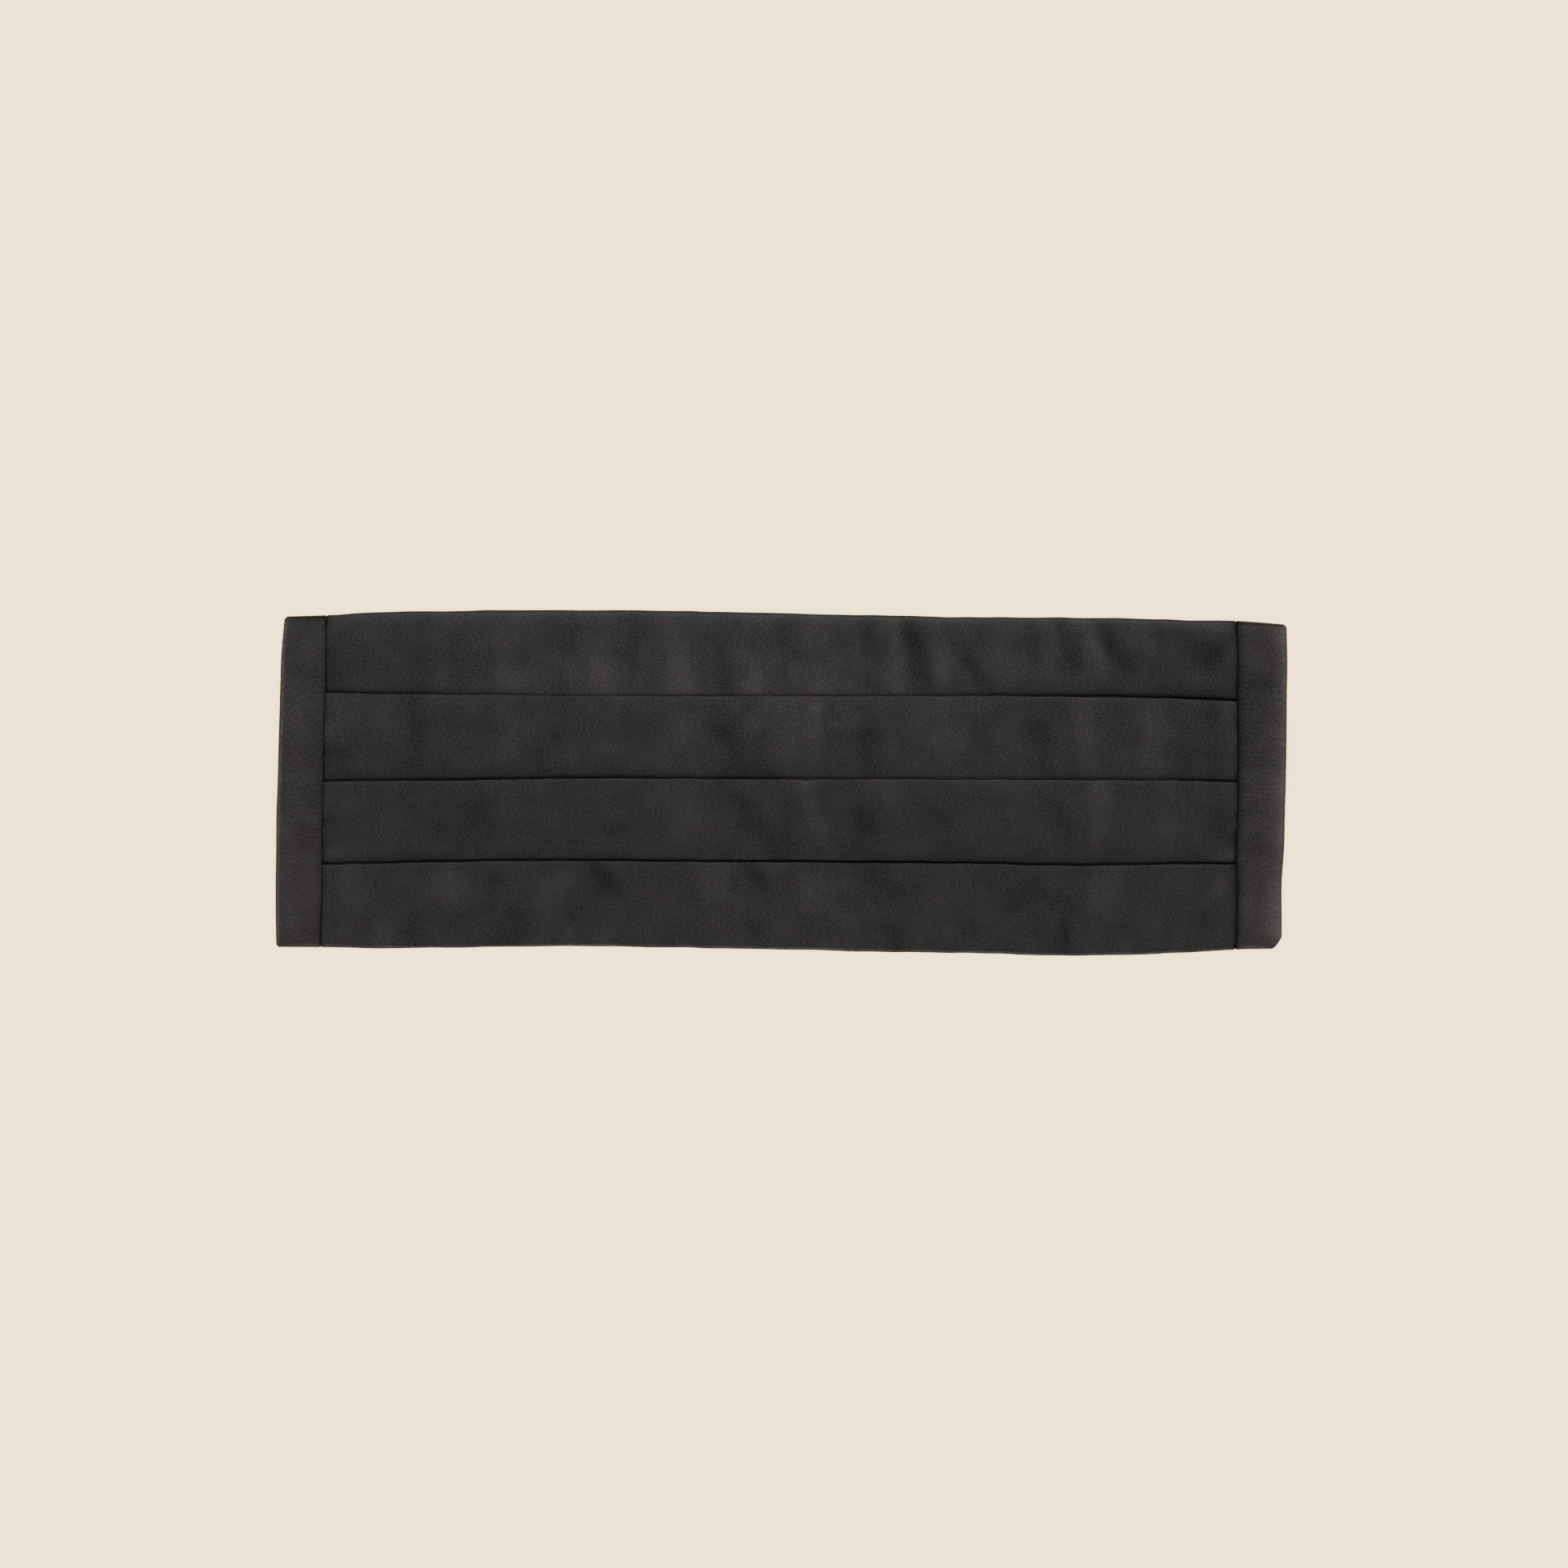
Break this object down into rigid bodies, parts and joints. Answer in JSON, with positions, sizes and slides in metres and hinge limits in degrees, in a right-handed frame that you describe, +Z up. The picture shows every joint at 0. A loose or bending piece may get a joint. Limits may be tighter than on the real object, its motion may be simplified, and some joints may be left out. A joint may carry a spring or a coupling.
{
  "type": "cummerbund",
  "caption": "Black satin cummerbund lying flat, front up: soft horizontal pleats opening towards the top edge, folded end bands, and a plain strap closed by a clasp behind.",
  "frame": {"origin": "middle of the cummerbund's outline, on the surface that it lies on", "axes": "+X along the length to the end at the right of the front, +Y towards the edge that the pleats open to, +Z up out of the front"},
  "size_m": [0.3828, 0.1304, 0.0093],
  "materials": {
    "pleat_satin": "black satin weave with a soft sheen along the length",
    "band_satin": "black satin weave turned across, with a soft sheen",
    "strap_webbing": "black woven ribbed tape, matte",
    "clasp_plastic": "black moulded nylon, fine matte"
  },
  "bodies": {
    "root": {"pleated_front": "pleat_satin", "end_band_left": "band_satin", "end_band_right": "band_satin", "strap_left": "strap_webbing", "strap_right": "strap_webbing", "clasp": "clasp_plastic"}
  },
  "joints": []
}
